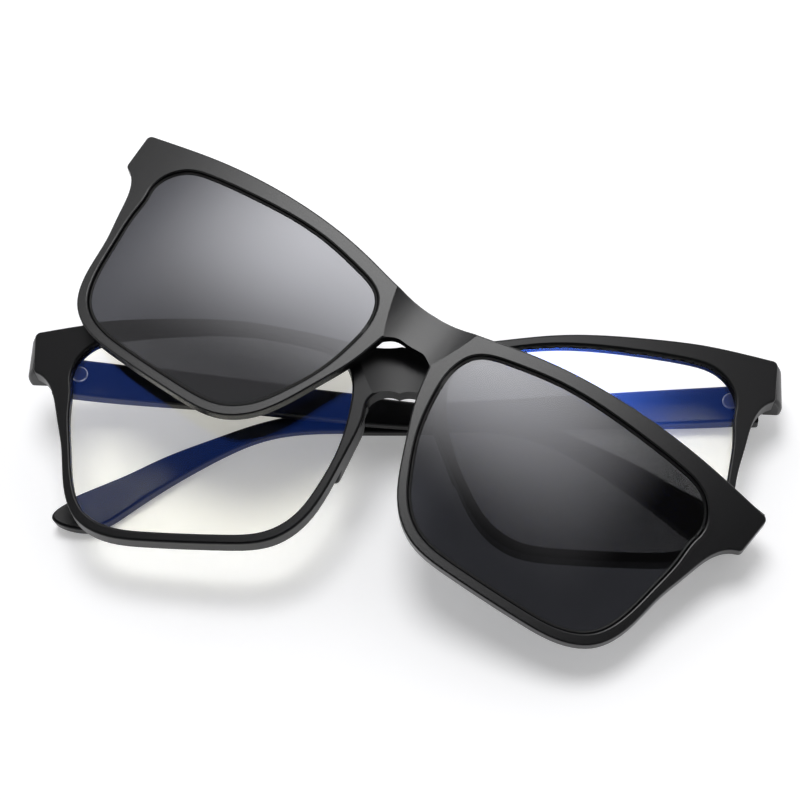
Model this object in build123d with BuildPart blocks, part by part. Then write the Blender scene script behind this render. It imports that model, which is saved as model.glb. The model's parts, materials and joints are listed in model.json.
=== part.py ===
from build123d import *
import os
from math import asin, cos, radians, sin, sqrt

# Black moulded glasses, lying on their folded temples, with a magnetic tinted clip across the front.
# All lengths are millimetres. +Z is up from the table, +X runs to the viewer's right along the front.

os.makedirs("parts", exist_ok=True)

# Driving sizes of the glasses: lens box, gap between the lenses, temple length
lens_width = 54.2
lens_height = 40.9
bridge_gap = 18.0
temple_reach = 134.7

# Rims, brow and end pieces that both fronts share
rim_width = 1.9
brow_width = 2.6
end_reach = 8.6
end_height = 8.3
end_draft = 0.7
end_round = 1.1
wrap_radius = 345.0

# Front of the glasses
front_thickness = 4.0
front_lens_recess = 1.0
front_lens_thickness = 1.8
groove_depth = 0.7
tongue_thickness = 0.8
lens_clearance = 0.03
front_edge_round = 0.4
bridge_crown = 8.35

# End pieces wrap back to the hinges
arm_length = 6.7
arm_wall = 3.4
arm_bulge = 0.4
arm_flare = 1.2
arm_slope = 0.3
arm_round = 0.8

# Moulded nose pads: places are from the middle of the front, sizes along and across the pad
pad_across = 8.6
pad_rise = 0.6
pad_lean = 22.7
pad_reach = 9.0
pad_length = 12.5
pad_root_width = 2.4
pad_width = 1.9
pad_spread = 1.1
pad_drop = 2.8

# Hinges: three knuckles on one screw, leaves moulded in
knuckle_radius = 1.15
knuckle_height = 1.8
knuckle_gap = 0.05
knuckle_relief = 0.15
leaf_thickness = 0.7
leaf_height = 3.4
front_leaf_length = 4.8
temple_leaf_length = 8.6
leaf_depth = 0.9
screw_radius = 0.6
screw_head_radius = 0.95
screw_head_height = 0.5
screw_fit = 0.01
screw_running_clearance = 0.05
stud_head_radius = 1.6
stud_head_height = 0.5
stud_shank_radius = 0.7
stud_shank_length = 1.9
stud_reach = 5.7
barrel_offset = 0.6
slot_width = 0.3
slot_depth = 0.25

# Temples
temple_height = 7.5
temple_thickness = 2.3
temple_root_thickness = 3.4
temple_tip_thickness = 3.1
temple_drop = 29.0
temple_bow = 10.2
temple_inner_gap = 0.6
temple_edge_round = 0.5
butt_gap = 0.1
hinge_rise = 15.4

# Magnets, and the clip
magnet_radius = 2.0
magnet_thickness = 1.5
magnet_skin = 0.7
magnet_rise = 17.1
magnet_inset = 4.3
magnet_clearance = 0.02
clip_thickness = 2.3
clip_cover = 0.85
clip_edge_round = 0.3
clip_lens_recess = 0.6
clip_lens_thickness = 1.1
clip_groove_depth = 0.6
clip_tongue_thickness = 0.5
clip_bridge_crown = 10.0
scoop_depth = 1.5
scoop_low_depth = 0.5
scoop_half_width = 9.2
scoop_back = 1.2
lip_length = 4.6
lip_thickness = 0.7
lip_reach = 1.8
lip_inset = 0.6
lip_clearance = 0.05

# How the glasses lie: angles in degrees, places from the table's level
front_lean = 11.7
front_roll = 3.0
front_place = (0.7, -12.9, 20.0)
inner_fold_gap = 2.2
outer_fold_gap = 4.9
clip_turn = -31.9
clip_place = (-3.5, 7.7, 4.3)

# One spare length for every cutting and stock block
overrun = 1.0

# Shares of half the lens width and half the lens height, round one lens from its outer side
lens_outline_shares = [
    (1.000, 0.489), (0.970, 0.743), (0.871, 0.880), (0.661, 0.956), (0.328, 0.988), (-0.004, 1.000),
    (-0.336, 0.973), (-0.683, 0.880), (-0.930, 0.733), (-1.000, 0.513), (-0.996, 0.225),
    (-0.923, -0.196), (-0.815, -0.513), (-0.683, -0.782), (-0.502, -0.949), (-0.188, -1.000),
    (0.328, -0.978), (0.624, -0.914), (0.786, -0.782), (0.897, -0.489), (0.952, -0.098), (0.985, 0.220),
]
# The points of that outline that the lower rim follows
first_rim_share, last_rim_share = 11, 20

# Brow from the middle outwards, in shares of half the front's width and of the brow's height
brow_shares = [
    (0.121, 0.790), (0.205, 0.845), (0.299, 0.904), (0.400, 0.959), (0.501, 0.989),
    (0.655, 1.000), (0.808, 0.989), (0.898, 0.959),
]
brow_middle_share = 0.800
brow_end_share = 0.917
clip_brow_shares = [
    (0.128, 0.793), (0.223, 0.864), (0.362, 0.946), (0.494, 0.985), (0.641, 0.994),
    (0.804, 0.962), (0.908, 0.922),
]
clip_brow_middle_share = 0.753
clip_brow_end_share = 0.885

# Nose side downwards, in shares of half the gap between the lenses and of half the lens height
nose_shares = [(0.490, 0.394), (0.655, 0.313), (0.711, 0.191), (0.833, 0.000)]
clip_nose_shares = [(0.644, 0.303), (0.711, 0.176), (0.833, 0.000)]
clip_arch_shares = [(0.333, 0.489)]
clip_corner_shares = (0.590, 0.411)

# From the rim up to the end piece, in shares of its reach and of its lower edge's height
shoulder_shares = [(0.163, 0.080), (0.250, 0.290), (0.395, 0.620), (0.593, 0.853)]

# Side view of a temple, in shares of its reach, its drop and its height at the hinge
temple_shares = [
    (0.111, 0.033, 0.987), (0.223, 0.062, 0.920), (0.356, 0.102, 0.840), (0.490, 0.141, 0.747),
    (0.594, 0.176, 0.613), (0.713, 0.279, 0.467), (0.784, 0.441, 0.600), (0.858, 0.655, 0.893),
    (0.898, 0.793, 1.053), (0.950, 0.928, 1.040),
]
# Where a temple reaches its full root, its even thickness and the start of its bow
root_share, even_share = 0.06, 0.30
# Nose pad from its root backwards: shares of its reach, of its spread and drop, and of its length
pad_shares = [(0.15, 0.0, 0.95), (0.5, 0.4, 0.9), (0.85, 0.85, 0.95), (1.0, 1.0, 0.62)]

# Worked out from the sizes above
half_gap = bridge_gap / 2
half_lens_width = lens_width / 2
half_lens_height = lens_height / 2
lens_centre = half_gap + half_lens_width
half_front = half_gap + lens_width + end_reach
brow_top = half_lens_height + brow_width
end_top = brow_top * brow_end_share
end_low = end_top - end_height
end_sag = wrap_radius - sqrt(wrap_radius ** 2 - half_front ** 2)
arm_depth = end_sag + arm_length
arm_outer = half_front + arm_flare
arm_inner = arm_outer - arm_wall
hinge_across = arm_inner - temple_inner_gap
half_barrel = 1.5 * knuckle_height + knuckle_gap
barrel_rise = hinge_rise + barrel_offset
relief_radius = knuckle_radius + knuckle_relief
scoop_radius = (scoop_half_width ** 2 + scoop_depth ** 2) / (2 * scoop_depth)
scoop_top = brow_top * brow_middle_share + clip_cover
magnet_across = half_front - magnet_inset

# Planes with X across, Y up the face and Z out of it: the front, and the clip lying askew on it
front = Plane(origin=front_place).rotated((front_lean, front_roll, 0))
clip = Plane(front.location * Location(clip_place, (0, 0, clip_turn)))


def plan_of(plane, rise=0):
    """Plane seen from above: X across, Y backwards, Z up the face."""
    return Plane(origin=plane.origin, x_dir=plane.x_dir, z_dir=plane.y_dir).offset(rise)


def seat_plane(plane, across, rise, depth):
    """Plane on the bent face at that depth, with Z out of the face."""
    angle = asin(across / wrap_radius)
    radius = wrap_radius - depth
    back = wrap_radius - radius * cos(angle)
    origin = plane.from_local_coords((radius * sin(angle), rise, -back))
    normal = plane.from_local_coords((sin(angle), 0, cos(angle))) - plane.origin
    return Plane(origin=origin, x_dir=plane.y_dir.cross(normal), z_dir=normal)


def bent_band(plane, near, far):
    """Everything between two depths behind the bent face."""
    with BuildPart() as band:
        with BuildSketch(plan_of(plane, -lens_width)):
            with Locations((0, wrap_radius)):
                Circle(wrap_radius - near)
                Circle(wrap_radius - far, mode=Mode.SUBTRACT)
        extrude(amount=2 * lens_width)
    return band.part


def lens_prism(plane, side, extra=0):
    """Lens outline, grown by a groove or a tongue, run right through the front."""
    half_width = half_lens_width + extra
    half_height = half_lens_height + extra
    points = [(side * (lens_centre + a * half_width), b * half_height) for a, b in lens_outline_shares]
    with BuildPart() as prism:
        with BuildSketch(plane.offset(-arm_depth)):
            with BuildLine():
                Spline(*points, periodic=True)
            make_face()
        extrude(amount=2 * arm_depth)
    return prism.part


def edge_band(plane, recess, thickness, tongue, clearance=0):
    """Band at the middle of a lens's thickness, for its tongue or for the rim's groove."""
    middle = recess + thickness / 2
    reach = tongue / 2 + clearance
    return bent_band(plane, middle - reach, middle + reach)


def lower_edge():
    """Points from the nose round the lower rim and up to the end piece's lower corner."""
    half_width = half_lens_width + rim_width
    half_height = half_lens_height + rim_width
    rim = lens_outline_shares[first_rim_share:last_rim_share + 1]
    lens_side = half_gap + lens_width
    points = [(lens_centre + a * half_width, b * half_height) for a, b in rim]
    points += [(lens_side + a * end_reach, b * end_low) for a, b in shoulder_shares]
    return points + [(half_front - end_draft, end_low)]


def front_prism(plane, brow, brow_middle, brow_end, crown, nose, corner, arch):
    """Outline of a whole front, mirrored about its middle and run right through."""
    nose_points = [(a * half_gap, b * half_lens_height) for a, b in nose]
    edge = nose_points + lower_edge()
    arch_points = [(a * half_gap, b * half_lens_height) for a, b in arch + corner]
    with BuildPart() as prism:
        with BuildSketch(plane.offset(-arm_depth)):
            with BuildLine():
                if corner:
                    Spline((0, crown), *arch_points, tangents=[(1, 0), (0.7, -0.7)])
                    Spline(arch_points[-1], *edge)
                else:
                    Spline((0, crown), *edge)
                Line(edge[-1], (half_front, brow_end))
                Spline((half_front, brow_end), *reversed(brow), (0, brow_middle))
                Line((0, brow_middle), (0, crown))
            make_face()
            mirror(about=Plane.YZ)
            corners = vertices().filter_by(lambda v: abs(v.X) > half_front - 2 * end_draft)
            fillet(corners, end_round)
        extrude(amount=2 * arm_depth)
    return prism.part


def bridge_cylinder(plane, radius):
    """Cylinder standing in front of the bridge, leaning so that it cuts deepest at the brow."""
    high = plane.from_local_coords((0, scoop_top, scoop_radius - scoop_depth))
    low = plane.from_local_coords((0, clip_bridge_crown, scoop_radius - scoop_low_depth))
    reach = lens_height
    with BuildPart() as cylinder:
        with BuildSketch(Plane(origin=high, z_dir=low - high).offset(-reach)):
            Circle(radius)
        extrude(amount=2 * reach)
    return cylinder.part


def end_arm(side):
    """End piece that runs back from the front's outer end to the hinge."""
    start = end_sag + front_edge_round
    middle = ((half_front + arm_outer) / 2 + arm_bulge, (end_sag + arm_depth) / 2)
    corners = [
        (side * arm_inner, end_low),
        (side * (arm_outer + overrun), end_low),
        (side * (arm_outer + overrun), end_top - arm_slope),
        (side * arm_inner, end_top + arm_slope),
    ]
    with BuildPart() as arm:
        with BuildSketch(front.offset(-arm_depth)):
            with BuildLine():
                Polyline(*corners, close=True)
            make_face()
        extrude(amount=arm_depth)
        with BuildSketch(plan_of(front)):
            with BuildLine():
                ThreePointArc(
                    (side * (half_front - end_draft / 2), start),
                    (side * middle[0], middle[1]),
                    (side * arm_outer, arm_depth),
                )
                Polyline(
                    (side * arm_outer, arm_depth),
                    (side * arm_inner, arm_depth),
                    (side * arm_inner, start),
                    (side * (half_front - end_draft / 2), start),
                )
            make_face()
        extrude(amount=brow_top + overrun, mode=Mode.INTERSECT)
        outer_face = arm.faces().filter_by(GeomType.CYLINDER)[0]
        long_edges = outer_face.edges().filter_by(GeomType.LINE, reverse=True)
        fillet(long_edges, arm_round)
    return arm.part


def nose_pad(side):
    """Moulded pad: rounded slices from the rim backwards, leaning with the nose."""
    places = [
        (side * (pad_across + b * pad_spread), pad_rise - b * pad_drop, a * pad_reach, c)
        for a, b, c in pad_shares
    ]
    with BuildPart() as pad:
        for number, (across, rise, depth, share) in enumerate(places):
            origin = front.from_local_coords((across, rise, -depth))
            slice_plane = Plane(origin=origin, x_dir=front.x_dir, z_dir=front.z_dir)
            width = pad_root_width if number == 0 else pad_width * min(1, share / pad_shares[1][2])
            with BuildSketch(slice_plane.rotated((0, 0, side * pad_lean))):
                SlotOverall(pad_length * share, width, rotation=90)
        loft()
    return pad.part


def barrel(plane, low, high, radius):
    """Cylinder round a hinge's axis between two heights."""
    with BuildPart() as cylinder:
        with BuildSketch(plane.offset(low)):
            Circle(radius)
        extrude(amount=high - low)
    return cylinder.part


def block(plane, across, depths, heights):
    """Straight block between pairs of limits along a plane's three directions."""
    with BuildPart() as box:
        with BuildSketch(plane.offset(heights[0])):
            with BuildLine():
                Polyline(
                    (across[0], depths[0]),
                    (across[1], depths[0]),
                    (across[1], depths[1]),
                    (across[0], depths[1]),
                    close=True,
                )
            make_face()
        extrude(amount=heights[1] - heights[0])
    return box.part


# Hinge planes: origin on the axis at the temple's middle height, X along the folded temple, Z up the face
def hinge_plane(side, gap):
    along = front.x_dir * (-side * cos(radians(gap))) - front.z_dir * sin(radians(gap))
    origin = front.from_local_coords((side * hinge_across, hinge_rise, -arm_depth))
    return Plane(origin=origin, x_dir=along, z_dir=front.y_dir)


def temple_body(plane, back):
    """Temple as its side view crossed with its view from above, which bows towards the head."""
    tops = [(a * temple_reach, -b * temple_drop + c * temple_height / 2) for a, b, c in temple_shares]
    lows = [(a * temple_reach, -b * temple_drop - c * temple_height / 2) for a, b, c in temple_shares]
    half = temple_height / 2
    tip = (temple_reach, -temple_drop)
    bend = even_share * temple_reach
    inner = temple_inner_gap
    outer = inner + temple_thickness
    end = temple_reach + overrun
    inner_end = inner - temple_bow
    with BuildPart() as body:
        with BuildSketch(Plane(origin=plane.origin, x_dir=plane.x_dir, z_dir=plane.y_dir * -1)):
            with BuildLine():
                Spline((butt_gap, half), *tops, tip, *reversed(lows), (butt_gap, -half))
                Line((butt_gap, -half), (butt_gap, half))
            make_face()
        extrude(amount=temple_drop, both=True)
        with BuildSketch(plane.offset(-temple_drop - temple_height)):
            with BuildLine():
                Line((butt_gap, back * inner), (bend, back * inner))
                TangentArc((bend, back * inner), (end, back * inner_end), tangent=(1, 0))
                Line((end, back * inner_end), (end, back * (inner_end + temple_tip_thickness)))
                TangentArc(
                    (bend, back * outer), (end, back * (inner_end + temple_tip_thickness)), tangent=(1, 0)
                )
                Spline(
                    (root_share * temple_reach, back * (inner + temple_root_thickness)),
                    (bend, back * outer),
                    tangents=[(1, 0), (1, 0)],
                )
                Line(
                    (butt_gap, back * (inner + temple_root_thickness)),
                    (root_share * temple_reach, back * (inner + temple_root_thickness)),
                )
                Line((butt_gap, back * inner), (butt_gap, back * (inner + temple_root_thickness)))
            make_face()
        extrude(amount=2 * (temple_drop + temple_height), mode=Mode.INTERSECT)
    return body.part


def hook_lip(side):
    """Small ledge on the clip's top edge near its end, reaching back over the brow."""
    slope = (brow_shares[-1][1] - brow_end_share) * brow_top / ((1 - brow_shares[-1][0]) * half_front)
    outer = half_front - lip_inset
    rise = end_top + slope * lip_inset + lip_clearance
    seat = seat_plane(clip, side * outer, rise, 0)
    along = clip.x_dir * -side + clip.y_dir * slope
    root = clip_thickness - lip_thickness
    with BuildPart() as lip:
        with BuildSketch(Plane(origin=seat.origin, x_dir=seat.z_dir * -1, z_dir=seat.x_dir * -side)):
            with BuildLine():
                Polyline(
                    (root, side * lip_thickness),
                    (clip_thickness, side * lip_thickness),
                    (clip_thickness, 0),
                    (clip_thickness + lip_reach, 0),
                    (clip_thickness + lip_reach, -side * lip_thickness),
                    (root, -side * lip_thickness),
                    close=True,
                )
            make_face()
        extrude(amount=lip_length, dir=along)
    return lip.part


def in_front_sizes(shares, top):
    """Brow points in millimetres."""
    return [(a * half_front, b * top) for a, b in shares]


def cut_from(solid, cutters):
    """The solid less each cutter."""
    for cutter in cutters:
        solid = solid - cutter
    return solid


def front_leaf(hinge, side):
    """Metal leaf with the two outer knuckles and a plate that runs forward inside the end arm."""
    across = (side * (hinge_across + leaf_depth), side * (hinge_across + leaf_depth + leaf_thickness))
    depths = (arm_depth - front_leaf_length, arm_depth)
    plate = block(plan_of(front, barrel_rise), across, depths, (-leaf_height / 2, leaf_height / 2))
    low = barrel(hinge, -half_barrel, -half_barrel + knuckle_height, knuckle_radius)
    high = barrel(hinge, half_barrel - knuckle_height, half_barrel, knuckle_radius)
    middle = knuckle_height / 2 + knuckle_gap
    relief = barrel(hinge, -middle, middle, relief_radius)
    bore = barrel(hinge, -half_barrel, half_barrel, screw_radius + screw_fit)
    return cut_from(plate + low + high, [relief, bore])


def stud_plane(hinge, back):
    """Plane on a temple's inner face at the stud, with Z into the temple."""
    origin = hinge.from_local_coords((stud_reach, back * temple_inner_gap, -barrel_offset))
    return Plane(origin=origin, x_dir=hinge.x_dir, z_dir=hinge.y_dir * back)


def temple_leaf(hinge, back):
    """Metal leaf with the middle knuckle and a plate that runs inside the temple."""
    depths = (back * leaf_depth, back * (leaf_depth + leaf_thickness))
    plate = block(hinge, (butt_gap, temple_leaf_length), depths, (-leaf_height / 2, leaf_height / 2))
    half = knuckle_height / 2
    knuckle = barrel(hinge, -half, half, knuckle_radius)
    above = barrel(hinge, half, leaf_height, relief_radius)
    below = barrel(hinge, -leaf_height, -half, relief_radius)
    bore = barrel(hinge, -half, half, screw_radius + screw_running_clearance)
    stud = barrel(stud_plane(hinge, back), 0, stud_shank_length, stud_shank_radius + screw_fit)
    return cut_from(plate - above - below + knuckle, [bore, stud])


# The two sides, named as seen from the front: the left hinge's temple folds first, under the other
sides = {"left": -1, "right": 1}
fold_gaps = {"left": inner_fold_gap, "right": outer_fold_gap}
hinges = {name: hinge_plane(side, fold_gaps[name]) for name, side in sides.items()}
barrels = {name: hinge.offset(barrel_offset) for name, hinge in hinges.items()}
front_leaves = {name: front_leaf(barrels[name], side) for name, side in sides.items()}
temple_leaves = {name: temple_leaf(barrels[name], -side) for name, side in sides.items()}

# What is added to the front, and what is cut out of it
front_outline = front_prism(
    front, in_front_sizes(brow_shares, brow_top), brow_top * brow_middle_share, end_top,
    bridge_crown, nose_shares, [], [],
)
front_band = bent_band(front, 0, front_thickness)
front_holes = [lens_prism(front, side) for side in sides.values()]
front_groove = edge_band(
    front, front_lens_recess, front_lens_thickness, tongue_thickness, lens_clearance
)
front_grooves = [lens_prism(front, side, groove_depth) & front_groove for side in sides.values()]
front_scoop = bridge_cylinder(front, scoop_radius)
front_arms = [end_arm(side) for side in sides.values()]
nose_pads = [nose_pad(side) - lens_prism(front, side, lens_clearance) for side in sides.values()]
front_reliefs = [
    barrel(barrels[name], -half_barrel - knuckle_relief, half_barrel + end_height, relief_radius)
    for name in sides
]
front_magnet_holes = [
    barrel(
        seat_plane(front, side * magnet_across, magnet_rise, magnet_skin),
        -magnet_thickness - magnet_clearance,
        magnet_clearance,
        magnet_radius + magnet_clearance,
    )
    for side in sides.values()
]

# Front of the glasses: one bent moulding with rims, brow, bridge, nose pads and end arms
with BuildPart() as front_frame:
    add(front_outline)
    add(front_band, mode=Mode.INTERSECT)
    add(front_holes, mode=Mode.SUBTRACT)
    face = front_frame.faces().filter_by(GeomType.CYLINDER).sort_by(lambda bent: bent.radius)[-1]
    fillet(face.edges(), front_edge_round)
    add(front_scoop, mode=Mode.SUBTRACT)
    add(front_arms)
    add(nose_pads)
    add(front_grooves, mode=Mode.SUBTRACT)
    add(front_reliefs, mode=Mode.SUBTRACT)
    add(front_leaves.values(), mode=Mode.SUBTRACT)
    add(front_magnet_holes, mode=Mode.SUBTRACT)
front_frame.part.label = "front_frame"
export_step(front_frame.part, "parts/front_frame.step")

# Clear lenses, each bent like the front, with a tongue round its edge
lens_body_band = bent_band(front, front_lens_recess, front_lens_recess + front_lens_thickness)
lens_tongue_band = edge_band(front, front_lens_recess, front_lens_thickness, tongue_thickness)
for name, side in sides.items():
    lens_body = lens_prism(front, side) & lens_body_band
    lens_tongue = lens_prism(front, side, groove_depth - lens_clearance) & lens_tongue_band
    with BuildPart() as lens:
        add(lens_body)
        add(lens_tongue)
    lens.part.label = name + "_lens"
    export_step(lens.part, "parts/" + name + "_lens.step")

# Hinge leaves, moulded into the front's arms and into the temples
for name in sides:
    with BuildPart() as front_hinge_leaf:
        add(front_leaves[name])
    front_hinge_leaf.part.label = name + "_front_hinge_leaf"
    export_step(front_hinge_leaf.part, "parts/" + name + "_front_hinge_leaf.step")
    with BuildPart() as temple_hinge_leaf:
        add(temple_leaves[name])
    temple_hinge_leaf.part.label = name + "_temple_hinge_leaf"
    export_step(temple_hinge_leaf.part, "parts/" + name + "_temple_hinge_leaf.step")

# Hinge screws, with a slotted head above the top knuckle
for name in sides:
    with BuildPart() as screw:
        with BuildSketch(barrels[name].offset(-half_barrel)):
            Circle(screw_radius)
        extrude(amount=2 * half_barrel)
        with BuildSketch(barrels[name].offset(half_barrel)):
            Circle(screw_head_radius)
        extrude(amount=screw_head_height)
        with BuildSketch(barrels[name].offset(half_barrel + screw_head_height)):
            Rectangle(3 * screw_head_radius, slot_width)
        extrude(amount=-slot_depth, mode=Mode.SUBTRACT)
    screw.part.label = name + "_hinge_screw"
    export_step(screw.part, "parts/" + name + "_hinge_screw.step")

# Round studs on the temples' inner faces, through the leaves
for name, side in sides.items():
    face_plane = stud_plane(barrels[name], -side)
    with BuildPart() as stud:
        with BuildSketch(face_plane):
            Circle(stud_shank_radius)
        extrude(amount=stud_shank_length)
        with BuildSketch(face_plane):
            Circle(stud_head_radius)
        extrude(amount=-stud_head_height)
        rim = stud.edges().filter_by(GeomType.CIRCLE).sort_by(lambda edge: edge.radius)[-2:]
        chamfer(rim.sort_by(lambda edge: face_plane.to_local_coords(edge.center()).Z)[0], stud_head_height / 3)
    stud.part.label = name + "_hinge_stud"
    export_step(stud.part, "parts/" + name + "_hinge_stud.step")

# Temples, each around its leaf, with a hollow for the front's knuckles
for name, side in sides.items():
    hinge = hinges[name]
    body = temple_body(hinge, -side)
    hollow = barrel(barrels[name], -temple_height, temple_height, relief_radius)
    face_plane = stud_plane(barrels[name], -side)
    stud_hole = barrel(face_plane, 0, stud_shank_length + screw_fit, stud_shank_radius + screw_fit)
    with BuildPart() as temple:
        add(body)
        fillet(temple.edges(), temple_edge_round)
        add(hollow, mode=Mode.SUBTRACT)
        add(temple_leaves[name], mode=Mode.SUBTRACT)
        add(stud_hole, mode=Mode.SUBTRACT)
    temple.part.label = name + "_temple"
    export_step(temple.part, "parts/" + name + "_temple.step")

# What is added to the clip's frame, and what is cut out of it
clip_outline = front_prism(
    clip, in_front_sizes(clip_brow_shares, brow_top + clip_cover),
    (brow_top + clip_cover) * clip_brow_middle_share, (brow_top + clip_cover) * clip_brow_end_share,
    clip_bridge_crown, clip_nose_shares, [clip_corner_shares], clip_arch_shares,
)
bridge_wall = clip_thickness - scoop_depth + scoop_back
clip_band = bent_band(clip, 0, clip_thickness)
bridge_band = bent_band(clip, clip_thickness / 2, clip_thickness + 2 * scoop_back)
bridge_back = clip_outline & bridge_cylinder(clip, scoop_radius + bridge_wall) & bridge_band
clip_holes = [lens_prism(clip, side) for side in sides.values()]
clip_groove = edge_band(
    clip, clip_lens_recess, clip_lens_thickness, clip_tongue_thickness, lens_clearance
)
clip_grooves = [lens_prism(clip, side, clip_groove_depth) & clip_groove for side in sides.values()]
clip_scoop = bridge_cylinder(clip, scoop_radius)
hook_lips = [hook_lip(side) for side in sides.values()]
clip_magnet_holes = [
    barrel(
        seat_plane(clip, side * magnet_across, magnet_rise, clip_thickness),
        -overrun,
        magnet_thickness + magnet_clearance,
        magnet_radius + magnet_clearance,
    )
    for side in sides.values()
]

# Clip's frame: a thinner bent moulding of the same outline, with a scooped bridge and two hook lips
with BuildPart() as clip_frame:
    add(clip_outline)
    add(clip_band, mode=Mode.INTERSECT)
    add(bridge_back)
    add(clip_holes, mode=Mode.SUBTRACT)
    bent_faces = clip_frame.faces().filter_by(GeomType.CYLINDER)
    face = bent_faces.filter_by(lambda bent: abs(bent.radius - wrap_radius) < clip_edge_round)[0]
    fillet(face.edges(), clip_edge_round)
    add(clip_scoop, mode=Mode.SUBTRACT)
    add(clip_grooves, mode=Mode.SUBTRACT)
    add(hook_lips)
    add(clip_magnet_holes, mode=Mode.SUBTRACT)
clip_frame.part.label = "clip_frame"
export_step(clip_frame.part, "parts/clip_frame.step")

# Tinted lenses of the clip
tinted_body_band = bent_band(clip, clip_lens_recess, clip_lens_recess + clip_lens_thickness)
tinted_tongue_band = edge_band(clip, clip_lens_recess, clip_lens_thickness, clip_tongue_thickness)
for name, side in sides.items():
    lens_body = lens_prism(clip, side) & tinted_body_band
    lens_tongue = lens_prism(clip, side, clip_groove_depth - lens_clearance) & tinted_tongue_band
    with BuildPart() as clip_lens:
        add(lens_body)
        add(lens_tongue)
    clip_lens.part.label = name + "_clip_lens"
    export_step(clip_lens.part, "parts/" + name + "_clip_lens.step")

# Disc magnets: behind a skin in the front, and flush with the back of the clip
for name, side in sides.items():
    with BuildPart() as frame_magnet:
        with BuildSketch(seat_plane(front, side * magnet_across, magnet_rise, magnet_skin)):
            Circle(magnet_radius)
        extrude(amount=-magnet_thickness)
    frame_magnet.part.label = name + "_frame_magnet"
    export_step(frame_magnet.part, "parts/" + name + "_frame_magnet.step")
    with BuildPart() as clip_magnet:
        with BuildSketch(seat_plane(clip, side * magnet_across, magnet_rise, clip_thickness)):
            Circle(magnet_radius)
        extrude(amount=magnet_thickness)
    clip_magnet.part.label = name + "_clip_magnet"
    export_step(clip_magnet.part, "parts/" + name + "_clip_magnet.step")
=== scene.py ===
import json
import math
import bpy
from mathutils import Matrix, Vector

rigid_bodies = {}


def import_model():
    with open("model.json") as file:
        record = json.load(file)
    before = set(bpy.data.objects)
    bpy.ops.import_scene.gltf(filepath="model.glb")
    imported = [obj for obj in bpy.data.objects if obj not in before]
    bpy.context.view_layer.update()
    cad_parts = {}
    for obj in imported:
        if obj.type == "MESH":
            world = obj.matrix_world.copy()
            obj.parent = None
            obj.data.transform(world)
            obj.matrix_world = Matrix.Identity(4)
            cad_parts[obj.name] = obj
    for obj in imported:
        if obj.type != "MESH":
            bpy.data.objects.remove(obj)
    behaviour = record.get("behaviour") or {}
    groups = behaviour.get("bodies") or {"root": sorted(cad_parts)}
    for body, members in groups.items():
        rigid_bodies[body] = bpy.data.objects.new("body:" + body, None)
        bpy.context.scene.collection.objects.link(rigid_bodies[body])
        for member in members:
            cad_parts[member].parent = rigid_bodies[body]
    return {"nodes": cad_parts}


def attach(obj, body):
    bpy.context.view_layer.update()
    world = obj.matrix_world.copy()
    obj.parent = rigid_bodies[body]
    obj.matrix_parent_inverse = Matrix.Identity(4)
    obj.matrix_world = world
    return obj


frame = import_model()
bpy.ops.object.select_all(action="DESELECT")
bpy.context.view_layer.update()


# The main front of the glasses, moulded in one piece in black nylon: two full rims, the bridge,
# the end pieces and the nose pads. It comes satin from the mould, with a fine even grain.
def linear(code):
    """An sRGB hex colour as the linear colour that a shader takes."""
    shares = [int(code[i:i + 2], 16) / 255 for i in (1, 3, 5)]
    return [s / 12.92 if s <= 0.04045 else ((s + 0.055) / 1.055) ** 2.4 for s in shares] + [1]


def add_node(tree, kind, values=None, links=None, **settings):
    """A new node with its settings, the values of its sockets and the sockets that feed it."""
    node = tree.nodes.new(kind)
    for name, value in settings.items():
        setattr(node, name, value)
    for name, value in (values or {}).items():
        node.inputs[name].default_value = value
    for name, source in (links or {}).items():
        tree.links.new(source, node.inputs[name])
    return node


def new_material(name):
    """An empty material and its node tree."""
    material = bpy.data.materials.new(name)
    material.use_nodes = True
    material.node_tree.nodes.clear()
    return material, material.node_tree


def finish_node(node_name, material):
    """Gives a node of the part its finish."""
    piece = frame["nodes"][node_name]
    if not piece.material_slots:
        piece.data.materials.append(material)
    for place in piece.material_slots:
        place.material = material


def moulded_plastic(name, colour, roughness, gloss, grain_mm, grain_depth_mm):
    """A black thermoplastic as it leaves a mould whose walls were finely blasted."""
    material, tree = new_material(name)
    place = add_node(tree, "ShaderNodeTexCoord")
    grain = add_node(
        tree, "ShaderNodeTexNoise",
        {"Scale": 1000 / grain_mm, "Detail": 2, "Roughness": 0.6},
        {"Vector": place.outputs["Object"]},
    )
    relief = add_node(
        tree, "ShaderNodeBump",
        {"Strength": 1, "Distance": grain_depth_mm / 1000},
        {"Height": grain.outputs["Fac"]},
    )
    plastic = add_node(
        tree, "ShaderNodeBsdfPrincipled",
        {
            "Base Color": linear(colour), "Roughness": roughness, "IOR": 1.5,
            "Specular IOR Level": gloss,
        },
        {"Normal": relief.outputs["Normal"]},
    )
    add_node(tree, "ShaderNodeOutputMaterial", links={"Surface": plastic.outputs["BSDF"]})
    return material


# Real blasting is near 0.05 mm, too fine to show here, so the grain is drawn six times as coarse.
front_nylon = moulded_plastic(
    "satin moulded nylon, front", colour="#0c0c0e", roughness=0.34, gloss=0.22,
    grain_mm=0.3, grain_depth_mm=0.005,
)
finish_node("front_frame", front_nylon)


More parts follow.
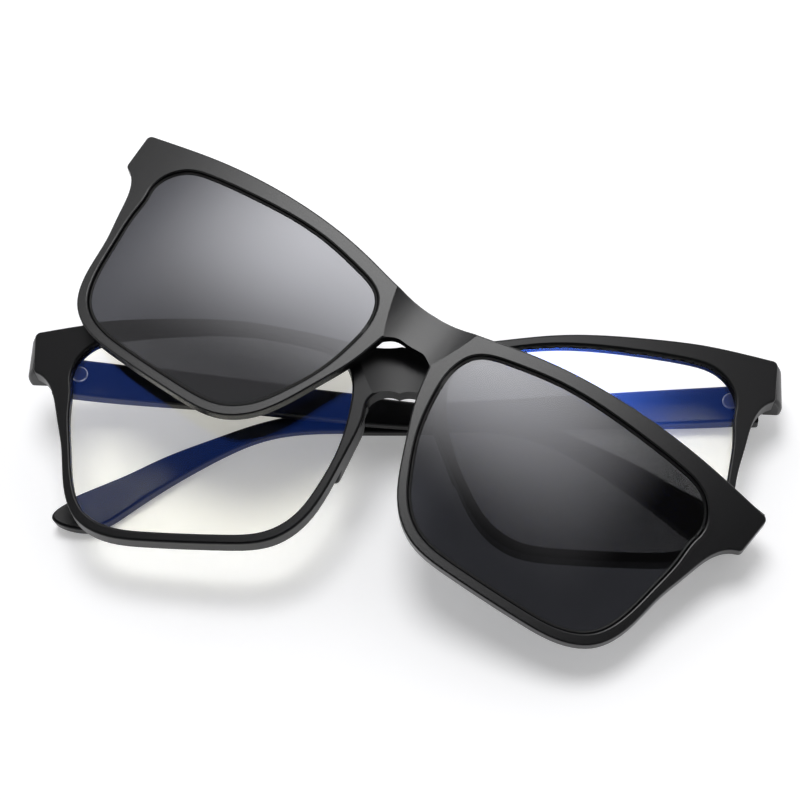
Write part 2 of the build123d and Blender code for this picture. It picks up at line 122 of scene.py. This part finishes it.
# The clear lenses of the front: polished resin, bent with the front and held in its grooves.
# Their coating mirrors blue and lets a little less of it through, which leaves a faint yellow.
def lens_resin(name, passes, mirrors, shade, index):
    """A polished resin lens: what passes through it, and the colour that its coating mirrors."""
    material, tree = new_material(name)
    rays = add_node(tree, "ShaderNodeLightPath")
    resin = add_node(
        tree, "ShaderNodeBsdfPrincipled",
        {
            "Base Color": linear(passes), "Roughness": 0, "IOR": index,
            "Transmission Weight": 1, "Specular Tint": linear(mirrors),
        },
    )
    # Lamps reach what is behind the lens through this stand-in, with the lens's own shade.
    film = add_node(tree, "ShaderNodeBsdfTransparent", {"Color": linear(shade)})
    surface = add_node(
        tree, "ShaderNodeMixShader",
        links={0: rays.outputs["Is Shadow Ray"], 1: resin.outputs["BSDF"], 2: film.outputs["BSDF"]},
    )
    add_node(tree, "ShaderNodeOutputMaterial", links={"Surface": surface.outputs["Shader"]})
    return material


# The coating mirrors more than bare resin does, and the high index stands for that.
clear_resin = lens_resin(
    "coated clear lens resin", passes="#ffffff", mirrors="#2450bc", shade="#fefefa", index=2.0
)
for side in ("left", "right"):
    finish_node(side + "_lens", clear_resin)


# The temples, moulded in the same black nylon, and folded flat behind the front.
# The mould is polished a little further than the front's.
temple_nylon = moulded_plastic(
    "satin moulded nylon, temples", colour="#0c0c0e", roughness=0.34, gloss=0.22,
    grain_mm=0.3, grain_depth_mm=0.004,
)
for side in ("left", "right"):
    finish_node(side + "_temple", temple_nylon)


# The hinges: nickel silver leaves pressed into the plastic, three knuckles and one screw each,
# with the round head of a stud on the temple's inner face. Turned and tumbled, so softly bright.
def metal(name, colour, roughness):
    """A plain metal surface with one colour and an even finish."""
    material, tree = new_material(name)
    body = add_node(
        tree, "ShaderNodeBsdfPrincipled",
        {"Base Color": linear(colour), "Metallic": 1, "Roughness": roughness},
    )
    add_node(tree, "ShaderNodeOutputMaterial", links={"Surface": body.outputs["BSDF"]})
    return material


nickel_silver = metal("tumbled nickel silver, hinge", colour="#a3a5a9", roughness=0.32)
stud_steel = metal("brushed stud head", colour="#b0b1be", roughness=0.3)
for side in ("left", "right"):
    for part in ("front_hinge_leaf", "temple_hinge_leaf", "hinge_screw"):
        finish_node(side + "_" + part, nickel_silver)
    finish_node(side + "_hinge_stud", stud_steel)


# The clip that lies askew on the front: one thin bent moulding with two rims and a scooped bridge.
# It is the same satin black plastic, and a little glossier, with a slightly coarser grain.
clip_plastic = moulded_plastic(
    "satin moulded plastic, clip", colour="#0b0b0d", roughness=0.27, gloss=0.4,
    grain_mm=0.35, grain_depth_mm=0.007,
)
finish_node("clip_frame", clip_plastic)


# The clip's tinted lenses: polished grey resin, dyed through, with no coating in front.
# They are bent with the clip, and their tongues snap into its grooves.
grey_resin = lens_resin(
    "dyed grey lens resin", passes="#404146", mirrors="#fafaff", shade="#5c5d62", index=1.5
)
for side in ("left", "right"):
    finish_node(side + "_clip_lens", grey_resin)


# The line of shade round each tinted lens, just inside the rim: a thin black band on the edge of
# its front face, which is painted shade standing for the shaded groove of the rim's inner wall. It
# is inset from the lens's own face.
upward_least, weld_reach = 0.6, 0.000001
shade_width, shade_thickness = 0.0007, 0.00003


def edge_band(lens_name, band_name, width, thickness):
    """A thin band on a lens's front face, along the edge of the rim's opening."""
    bpy.ops.object.select_all(action="DESELECT")
    lens = frame["nodes"][lens_name]
    band = lens.copy()
    band.data = lens.data.copy()
    band.name = band_name
    band.parent = None
    bpy.context.scene.collection.objects.link(band)
    bpy.context.view_layer.objects.active = band
    band.select_set(True)
    bpy.ops.object.mode_set(mode="EDIT")
    bpy.ops.mesh.customdata_custom_splitnormals_clear()
    bpy.ops.mesh.select_mode(type="FACE")
    bpy.ops.mesh.select_all(action="DESELECT")
    bpy.ops.object.mode_set(mode="OBJECT")
    for face in band.data.polygons:
        face.select = face.normal.z < upward_least
    bpy.ops.object.mode_set(mode="EDIT")
    bpy.ops.mesh.delete(type="FACE")
    # The lens's front face is one piece of what is left, and the step of its tongue another.
    bpy.ops.mesh.select_all(action="SELECT")
    bpy.ops.mesh.remove_doubles(threshold=weld_reach)
    bpy.ops.mesh.select_all(action="DESELECT")
    bpy.ops.object.mode_set(mode="OBJECT")
    max(band.data.polygons, key=lambda face: face.area).select = True
    bpy.ops.object.mode_set(mode="EDIT")
    bpy.ops.mesh.select_linked()
    bpy.ops.mesh.select_all(action="INVERT")
    bpy.ops.mesh.delete(type="FACE")
    bpy.ops.mesh.select_all(action="SELECT")
    bpy.ops.mesh.inset(thickness=width, use_boundary=True, use_even_offset=True)
    bpy.ops.mesh.delete(type="FACE")
    bpy.ops.object.mode_set(mode="OBJECT")
    shell = band.modifiers.new("thickness", "SOLIDIFY")
    shell.thickness = thickness
    shell.offset = 1
    bpy.ops.object.modifier_apply(modifier=shell.name)
    return band


# The band's near-black colour is painted shade, laid where the rim's groove falls dark.
painted_shade_black = moulded_plastic(
    "painted shade band", colour="#0a0a0b", roughness=0.4, gloss=0.2,
    grain_mm=0.3, grain_depth_mm=0.001,
)
for side in ("left", "right"):
    lens_name = side + "_clip_lens"
    band = edge_band(lens_name, lens_name + "_shade", shade_width, shade_thickness)
    band.data.materials.clear()
    band.data.materials.append(painted_shade_black)
    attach(band, "clip")


# The magnets: nickel-plated discs, let into the end pieces of the front and of the clip.
# The front's lie under a skin of plastic, and the clip's are flush with its back.
nickel_plate = metal("nickel plate, magnet", colour="#c4c6ca", roughness=0.18)
for side in ("left", "right"):
    for part in ("frame_magnet", "clip_magnet"):
        finish_node(side + "_" + part, nickel_plate)


# The table that the glasses lie on: a wide sheet of smooth white paper.
# It is lifted a little towards plain white where it is seen, and its shadows stay.
floor_side, white_lift = 6.0, 0.28
white = linear("#ffffff")
bpy.ops.mesh.primitive_plane_add(size=floor_side, location=(0, 0, 0))
floor = bpy.context.object
floor.name = "floor"
paper, tree = new_material("white paper")
rays = add_node(tree, "ShaderNodeLightPath")
seen = add_node(
    tree, "ShaderNodeMath",
    links={0: rays.outputs["Is Camera Ray"], 1: rays.outputs["Is Glossy Ray"]}, operation="ADD",
)
seen = add_node(
    tree, "ShaderNodeMath",
    links={0: seen.outputs[0], 1: rays.outputs["Is Transmission Ray"]},
    operation="ADD", use_clamp=True,
)
lift = add_node(tree, "ShaderNodeMath", {1: white_lift}, {0: seen.outputs[0]}, operation="MULTIPLY")
sheet = add_node(tree, "ShaderNodeBsdfDiffuse", {"Color": linear("#f6f6f8")})
glow = add_node(tree, "ShaderNodeEmission", {"Color": white}, {"Strength": lift.outputs[0]})
both = add_node(tree, "ShaderNodeAddShader", links={0: sheet.outputs[0], 1: glow.outputs[0]})
add_node(tree, "ShaderNodeOutputMaterial", links={"Surface": both.outputs[0]})
floor.data.materials.append(paper)


# The white room round the table, as the glasses mirror it: pale at the back and the sides, dark
# on the side where the camera stands, and plain white where it is looked at through a lens.
world = bpy.data.worlds.new("white room")
bpy.context.scene.world = world
world.use_nodes = True
tree = world.node_tree
tree.nodes.clear()
rays = add_node(tree, "ShaderNodeLightPath")
place = add_node(tree, "ShaderNodeTexCoord")
toward = add_node(tree, "ShaderNodeSeparateXYZ", links={"Vector": place.outputs["Generated"]})
# A direction is read as a point of a flat ceiling: how far across and how far back it is,
# each as a share of its height.
least_rise = 0.02
rise = add_node(
    tree, "ShaderNodeMath", {1: least_rise}, {0: toward.outputs["Z"]}, operation="MAXIMUM"
)
across = add_node(
    tree, "ShaderNodeMath", links={0: toward.outputs["X"], 1: rise.outputs[0]}, operation="DIVIDE"
)
behind = add_node(
    tree, "ShaderNodeMath", links={0: toward.outputs["Y"], 1: rise.outputs[0]}, operation="DIVIDE"
)
front_light, back_light, side_light = 0.06, 0.8, 0.8
front_ends, back_starts = 0.05, 0.27
side_starts, side_full = 0.55, 0.92
wall = add_node(
    tree, "ShaderNodeMapRange",
    {
        "From Min": front_ends, "From Max": back_starts,
        "To Min": front_light, "To Max": back_light,
    },
    {"Value": behind.outputs[0]}, interpolation_type="SMOOTHSTEP",
)
sideways = add_node(tree, "ShaderNodeMath", links={0: toward.outputs["X"]}, operation="ABSOLUTE")
beside = add_node(
    tree, "ShaderNodeMapRange",
    {"From Min": side_starts, "From Max": side_full, "To Min": 0, "To Max": 1},
    {"Value": sideways.outputs[0]}, interpolation_type="SMOOTHSTEP",
)
walls = add_node(
    tree, "ShaderNodeMix", {"B": side_light},
    {"Factor": beside.outputs["Result"], "A": wall.outputs["Result"]},
)
# The lamp's cloth, as a long soft patch on that ceiling, turned as the clip lies.
patch_turn = math.radians(-33)
spot = add_node(
    tree, "ShaderNodeCombineXYZ", links={"X": across.outputs[0], "Y": behind.outputs[0]}
)
turned = add_node(
    tree, "ShaderNodeVectorRotate", {"Angle": -patch_turn}, {"Vector": spot.outputs[0]},
    rotation_type="Z_AXIS",
)
patch = add_node(tree, "ShaderNodeSeparateXYZ", links={"Vector": turned.outputs[0]})
patch_middle, patch_half, patch_fade = -0.19, 0.13, 0.42
near_from, near_full, far_full, far_to = 0.135, 0.235, 0.3, 0.6
off = add_node(
    tree, "ShaderNodeMath", {1: patch_middle}, {0: patch.outputs["X"]}, operation="SUBTRACT"
)
off = add_node(tree, "ShaderNodeMath", links={0: off.outputs[0]}, operation="ABSOLUTE")
long_fade = add_node(
    tree, "ShaderNodeMapRange",
    {"From Min": patch_half, "From Max": patch_half + patch_fade, "To Min": 1, "To Max": 0},
    {"Value": off.outputs[0]}, interpolation_type="SMOOTHSTEP",
)
near_fade = add_node(
    tree, "ShaderNodeMapRange",
    {"From Min": near_from, "From Max": near_full, "To Min": 0, "To Max": 1},
    {"Value": patch.outputs["Y"]}, interpolation_type="SMOOTHSTEP",
)
far_fade = add_node(
    tree, "ShaderNodeMapRange",
    {"From Min": far_full, "From Max": far_to, "To Min": 1, "To Max": 0},
    {"Value": patch.outputs["Y"]}, interpolation_type="SMOOTHSTEP",
)
cloth_strength = 11.0
cloth = add_node(
    tree, "ShaderNodeMath",
    links={0: long_fade.outputs["Result"], 1: near_fade.outputs["Result"]}, operation="MULTIPLY",
)
cloth = add_node(
    tree, "ShaderNodeMath",
    links={0: cloth.outputs[0], 1: far_fade.outputs["Result"]}, operation="MULTIPLY",
)
cloth = add_node(
    tree, "ShaderNodeMath", {1: cloth_strength}, {0: cloth.outputs[0]}, operation="MULTIPLY"
)
by_gloss = add_node(
    tree, "ShaderNodeMath",
    links={0: rays.outputs["Is Glossy Ray"], 1: rays.outputs["Is Transmission Ray"]},
    operation="ADD", use_clamp=True,
)
cloth = add_node(
    tree, "ShaderNodeMath",
    links={0: cloth.outputs[0], 1: by_gloss.outputs[0]}, operation="MULTIPLY",
)
mirrored = add_node(
    tree, "ShaderNodeMath",
    links={0: walls.outputs["Result"], 1: cloth.outputs[0]}, operation="ADD",
)
# What passes through a lens and runs level sees the white wall, and what its back face mirrors
# upwards sees the same ceiling as its front face.
level_below, ceiling_above = 0.4, 0.6
level = add_node(
    tree, "ShaderNodeMapRange",
    {"From Min": level_below, "From Max": ceiling_above, "To Min": 1, "To Max": 0},
    {"Value": toward.outputs["Z"]}, interpolation_type="SMOOTHSTEP",
)
through = add_node(
    tree, "ShaderNodeMath",
    links={0: rays.outputs["Is Transmission Ray"], 1: level.outputs["Result"]},
    operation="MULTIPLY",
)
seen = add_node(
    tree, "ShaderNodeMath", links={0: rays.outputs["Is Camera Ray"], 1: through.outputs[0]},
    operation="ADD", use_clamp=True,
)
strength = add_node(
    tree, "ShaderNodeMix", {"B": 1.0}, {"Factor": seen.outputs[0], "A": mirrored.outputs[0]}
)
room = add_node(
    tree, "ShaderNodeBackground", {"Color": white}, {"Strength": strength.outputs["Result"]}
)
add_node(tree, "ShaderNodeOutputWorld", links={"Surface": room.outputs[0]})


# One wide soft lamp overhead and a little behind, which gives the soft shadows. Its face is
# mirrored from the room above, so the lamp itself isn't mirrored.
def aimed(place, target):
    """The matrix of something at a place whose -Z looks at a target."""
    look = Vector(target) - Vector(place)
    return Matrix.Translation(place) @ look.to_track_quat("-Z", "Y").to_matrix().to_4x4()


lamp_place, lamp_side, lamp_power = (-0.05, 0.22, 1.0), 0.5, 5.0
bpy.ops.object.light_add(type="AREA")
lamp = bpy.context.object
lamp.name = "overhead lamp"
lamp.data.shape = "DISK"
lamp.data.size = lamp_side
lamp.data.energy = lamp_power
lamp.matrix_world = aimed(lamp_place, (0, 0, 0))
lamp.visible_glossy = False
lamp.visible_transmission = False


# The camera: above the table in front of the glasses, held a few degrees off level.
# Its place and its turn are those that were fitted to the outlines of both fronts.
film_width_mm, camera_lens_mm = 36, 88
nearest_seen, farthest_seen = 0.01, 50
camera_place = (0.0342, -0.2123, 0.3205)
look_along = Vector((-0.0912, 0.5651, -0.8200))
camera_up = Vector((-0.0198, 0.8222, 0.5688))
back = -look_along.normalized()
right = camera_up.cross(back).normalized()
up = back.cross(right)
bpy.ops.object.camera_add()
camera = bpy.context.object
camera.data.sensor_width = film_width_mm
camera.data.lens = camera_lens_mm
camera.data.clip_start = nearest_seen
camera.data.clip_end = farthest_seen
camera_turn = Matrix((right, up, back)).transposed().to_4x4()
camera.matrix_world = Matrix.Translation(camera_place) @ camera_turn
bpy.context.scene.camera = camera

bpy.context.scene.view_settings.view_transform = "Standard"
